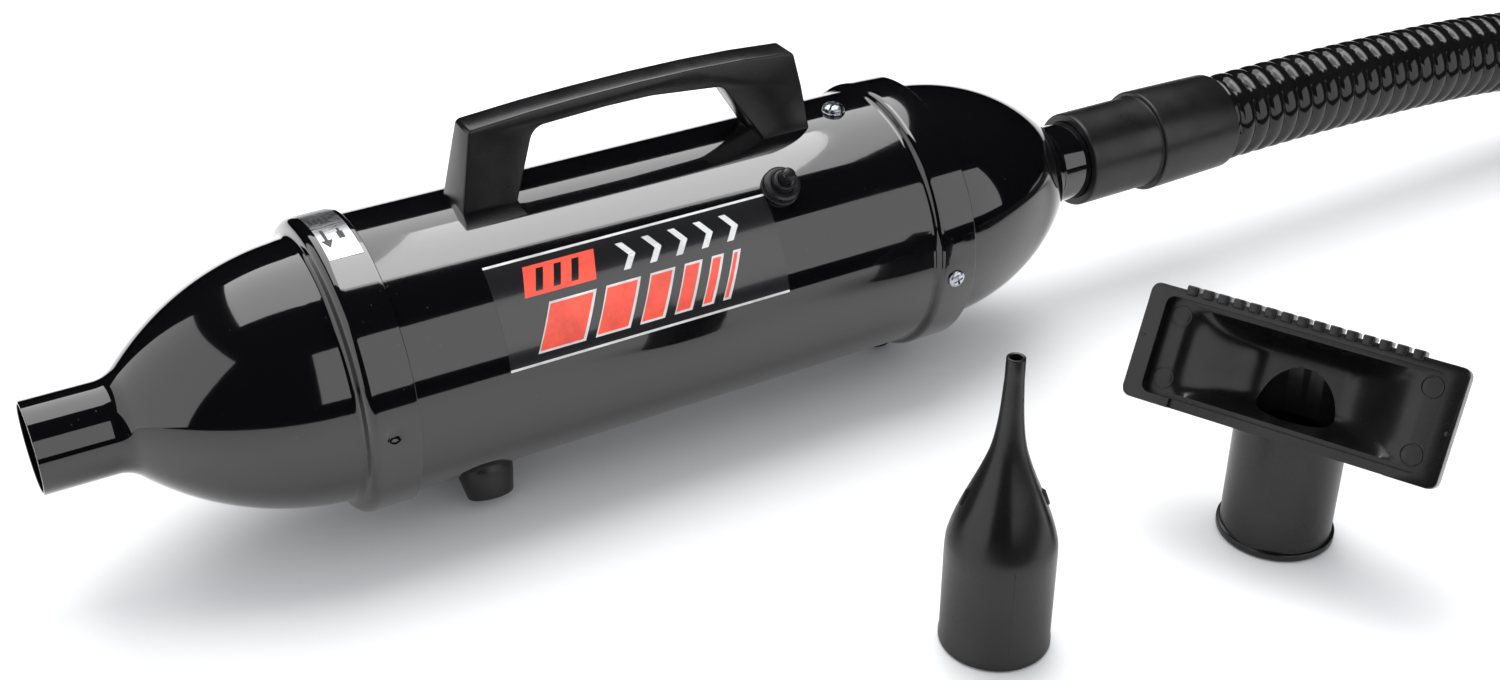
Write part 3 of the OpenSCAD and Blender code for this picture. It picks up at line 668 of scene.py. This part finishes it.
def resample(points, spacing):
    total = sum((points[i + 1] - points[i]).length for i in range(len(points) - 1))
    n = max(2, int(round(total / spacing)))
    out, want, run = [points[0]], total / n, 0.0
    target = want
    for i in range(len(points) - 1):
        seg = (points[i + 1] - points[i]).length
        while run + seg >= target - 1e-12 and len(out) < n:
            out.append(points[i].lerp(points[i + 1], (target - run) / seg))
            target += want
        run += seg
    out.append(points[-1])
    return out, total


def make_hose():
    pitch, per_rib, sides = 9.4 * MM, 10, 48
    line, total = resample(smooth_route(HOSE_ROUTE, 12), pitch / per_rib)
    r_out, depth, r_in = HOSE_D / 2 * MM, 3.0 * MM, 17.5 * MM
    bm = bmesh.new()
    outer, inner = [], []
    for i, c in enumerate(line):
        t = (line[min(i + 1, len(line) - 1)] - line[max(i - 1, 0)]).normalized()
        s = Vector((0, 0, 1)).cross(t).normalized()
        u = t.cross(s)
        end = min(1.0, min(i, len(line) - 1 - i) / (per_rib * 0.6))
        ring, ring_in = [], []
        for k in range(sides):
            a = 2 * math.pi * k / sides
            way = s * math.cos(a) + u * math.sin(a)
            phase = (i / per_rib + k / sides) % 1.0
            rib = math.sqrt(max(0.0, 1 - (2 * phase - 1) ** 2))
            ring.append(bm.verts.new(c + way * (r_out - depth + depth * rib * end)))
            ring_in.append(bm.verts.new(c + way * (r_in - 0.6 * MM + 0.6 * MM * rib)))
        outer.append(ring)
        inner.append(ring_in)
    for i in range(len(line) - 1):
        for k in range(sides):
            j = (k + 1) % sides
            bm.faces.new((outer[i][k], outer[i][j], outer[i + 1][j], outer[i + 1][k]))
            bm.faces.new((inner[i][k], inner[i + 1][k], inner[i + 1][j], inner[i][j]))
    for i in (0, len(line) - 1):
        for k in range(sides):
            j = (k + 1) % sides
            bm.faces.new((outer[i][k], inner[i][k], inner[i][j], outer[i][j]))
    hose = finish_mesh("ribbed_hose", bm, HOSE, "housing", "hose", sharp=80)
    end_cuff = make_end_cuff()


def make_cuff():
    outline = rounded([(231.5, 18.3, 0.5), (231.5, 22.0, 0.8), (233.2, 22.1, 0.3), (272, 21.9, 0.6), (272, 24.2, 0.9),
                       (317.2, 23.2, 0.8), (318, 22.4, 0.3), (318, 17.4, 0.3), (262.6, 16.0, 0.3), (262.6, 18.3)], n=5)
    lathe("machine_cuff", outline, CUFF, "housing", "hose_cuff", segs=160)


def make_end_cuff():
    place = Matrix.Translation((448 * MM, -370 * MM, 21.5 * MM)) @ Matrix.Rotation(math.radians(-90), 4, "Y")
    outline = rounded([(0.02, 16.3, 0.2), (0.02, 21.4, 0.6), (45, 21.4, 1.2), (49.5, 18.3, 0.5), (89.9, 18.2, 0.5),
                       (89.9, 16.2, 0.4)], n=5)

    def grips(a, r, turn):
        if 6 < a < 42 and r > 20.5:
            r -= 0.5 * (0.5 + 0.5 * math.cos(math.radians(turn * 24)))
        return a, r
    dense = densify(outline, lambda p, q: 12 if abs(q[0] - p[0]) > 30 and p[1] > 20 else 1)
    return lathe("tool_cuff", dense, CUFF, "housing", "hose_end_cuff", segs=192, place=place, shape=grips)


# ---------------------------------------------------------------- nozzles
PIN_SIDE = [(40, 20.6), (42.5, 20.5), (46.5, 20.1), (53.3, 18.2), (59, 16.2), (64.8, 13.9), (69, 12.2), (73.4, 10.4),
            (78.5, 8.5), (83.4, 6.9), (88.5, 5.75), (93.4, 5.0), (100, 4.3), (108, 3.8), (114, 3.5)]


def pin_side(t):
    """Pinpoint profile from its socket to its tip, set in by t."""
    return [(p.x / MM, p.y / MM - t) for p in smooth_route([(z, r, 0) for z, r in PIN_SIDE], 3)]


def make_pinpoint():
    wall = 1.5
    outer = pin_side(0)
    inner = pin_side(wall)
    outline = ([(0, 18.3), (0, 20.6), (0.4, 20.95), (2.2, 20.95), (2.7, 20.65)] + outer
               + rounded([(116, 3.48), (122.1, 3.4, 0.3), (122.5, 2.9, 0.3), (122.3, 2.1, 0.2), (116, 2.0)],
                         closed=False, n=3)
               + inner[::-1] + [(40.1, 18.3)])
    place = Matrix.Translation((PIN_X * MM, PIN_Y * MM, 0))
    body = lathe("pinpoint_shell", outline, NOZZLE, None, None, segs=160, place=place)
    parts = [body]
    for a in (-30, 150):
        turn = place @ Matrix.Rotation(math.radians(a), 4, "Z")
        flat = Matrix(((1, 0, 0, 0), (0, 0, 1, 0), (0, 1, 0, 0), (0, 0, 0, 1)))
        parts.append(prism("lug", rounded([(14.4, 60), (16.4, 60.6, 0.6), (14.4, 66.3, 0.6), (12.4, 67.8)], n=4),
                           -0.5, 0.5, turn @ flat, NOZZLE, 0.15))
    seam = place @ Matrix.Rotation(math.radians(-112), 4, "Z")
    parts.append(box_mesh("seam", (19.5, -0.18, 4), (20.72, 0.18, 44), seam, NOZZLE, 0.08))
    join("pinpoint_piece", parts, "pinpoint", "pinpoint_nozzle")


def funnel(face):
    """The hollow behind the mouth: shallow and level at both ends, deep in the middle."""
    nx, ny = 72, 24
    bm = bmesh.new()
    low, high = {}, {}
    for i in range(nx + 1):
        for j in range(ny + 1):
            x, y = -50 + 100 * i / nx, -17.4 + 34.8 * j / ny
            across = min(1.0, max(0.0, (47 - abs(x)) / 32))
            deep = 19 * across * across * (3 - 2 * across) * (1 - abs(y / 17.4) ** 5)
            low[i, j] = bm.verts.new(face @ (Vector((x, y, -6.99 - deep)) * MM))
            high[i, j] = bm.verts.new(face @ (Vector((x, y, -4)) * MM))
    for i in range(nx):
        for j in range(ny):
            bm.faces.new((low[i, j], low[i, j + 1], low[i + 1, j + 1], low[i + 1, j]))
            bm.faces.new((high[i, j], high[i + 1, j], high[i + 1, j + 1], high[i, j + 1]))
    for i in range(nx):
        for j in (0, ny):
            bm.faces.new((low[i, j], low[i + 1, j], high[i + 1, j], high[i, j]))
    for j in range(ny):
        for i in (0, nx):
            bm.faces.new((low[i, j], low[i, j + 1], high[i, j + 1], high[i, j]))
    return finish_mesh("funnel", bm, GLOSSY, None)


def make_utility():
    foot = Matrix.Translation((UTIL_X * MM, UTIL_Y * MM, 0))
    turn = Matrix.Rotation(math.radians(HEAD_TURN), 4, "Z")
    face = (Matrix.Translation((UTIL_X * MM, UTIL_Y * MM, HEAD_Z * MM)) @ turn
            @ Matrix.Translation((0, HEAD_BACK * MM, 0)) @ Matrix.Rotation(math.radians(HEAD_TILT), 4, "X"))
    side = Matrix(((0, 0, 1, 0), (1, 0, 0, 0), (0, 1, 0, 0), (0, 0, 0, 1)))
    head = prism("head", rounded_box(61, 23, 3.2), -9, 0, face, NOZZLE, 0.7)
    wedge = prism("wedge", rounded([(-20, -8), (19, -8), (19, -12, 3), (8, -35, 5), (-18, -24, 3)], n=5),
                  -57, 57, face @ side, NOZZLE, 0.8)
    neck_line = rounded([(0, 0), (0, 23.2, 0.6), (3, 23.2, 0.6), (3.2, 21.8, 0.4), (66, 21.8, 1.5), (66, 0)], n=5)
    neck = lathe("neck", neck_line, NOZZLE, None, None, segs=160, place=foot)
    cut(neck, [box_mesh("front_gap", (-80, -60, -1.2), (80, 60, 60), face, NOZZLE)])
    cut(head, [wedge, neck], "UNION")
    tray = prism("tray", rounded_box(54, 19.4, 3.4), -7, 6, face, GLOSSY)
    socket = lathe("socket", [(-1, 0), (-1, 18.3), (40, 18.3), (40, 16), (48, 16), (48, 0)], NOZZLE, None, None,
                   segs=96, place=foot)
    riser = lathe("riser", [(47, 0), (47, 9.5), (69.5, 9.5), (69.5, 0)], NOZZLE, None, None, segs=96,
                  place=foot @ Matrix.Translation((0.89 * MM, 0.46 * MM, 0)) @ turn
                  @ Matrix.Diagonal((1.6, 1, 1, 1)))
    lip = prism("lip", [(-42, -26), (42, -26), (42, -18), (-42, -18)], -2.4, 4, face, NOZZLE)
    cut(head, [tray, funnel(face), lip, socket, riser])
    parts = [head]
    for i in range(15):
        x = -47.5 + i * 6.22
        parts.append(box_mesh("tooth", (x, 21.2, -8.8), (x + 4.3, 25.0, 0.9), face, NOZZLE, 0.6))
    for x, y in ((-48.5, 12.5), (48.5, 13), (-48.5, -12.5), (48.5, -13)):
        spot = face @ Matrix.Translation((x * MM, y * MM, 0))
        ring = rounded([(-7.2, 3.7), (-7.2, 4.3), (-6.8, 4.3, 0.12), (-6.8, 3.7, 0.12)], n=2)
        parts.append(lathe("ejector_mark", ring, GLOSSY, None, None, segs=64, place=spot))
    for x, y in ((-59, 2), (59, -2)):
        spot = face @ Matrix.Translation((x * MM, y * MM, 0))
        parts.append(lathe("gate_mark", rounded([(-0.5, 0), (-0.5, 1.1), (0.25, 0.8, 0.3), (0.25, 0)], n=3), NOZZLE,
                           None, None, segs=32, place=spot))
    join("utility_piece", parts, "utility", "utility_nozzle")


# ---------------------------------------------------------------- build
add_camera()
add_stage()
make_hose()
make_cuff()
make_nose()
make_body()
make_rear()
make_handle()
make_switch()
make_screws()
make_feet()
make_decal()
make_lock_label()
make_pinpoint()
make_utility()
for name, look in NODE_LOOKS.items():
    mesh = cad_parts[name].data
    mesh.materials.clear()
    mesh.materials.append(look)
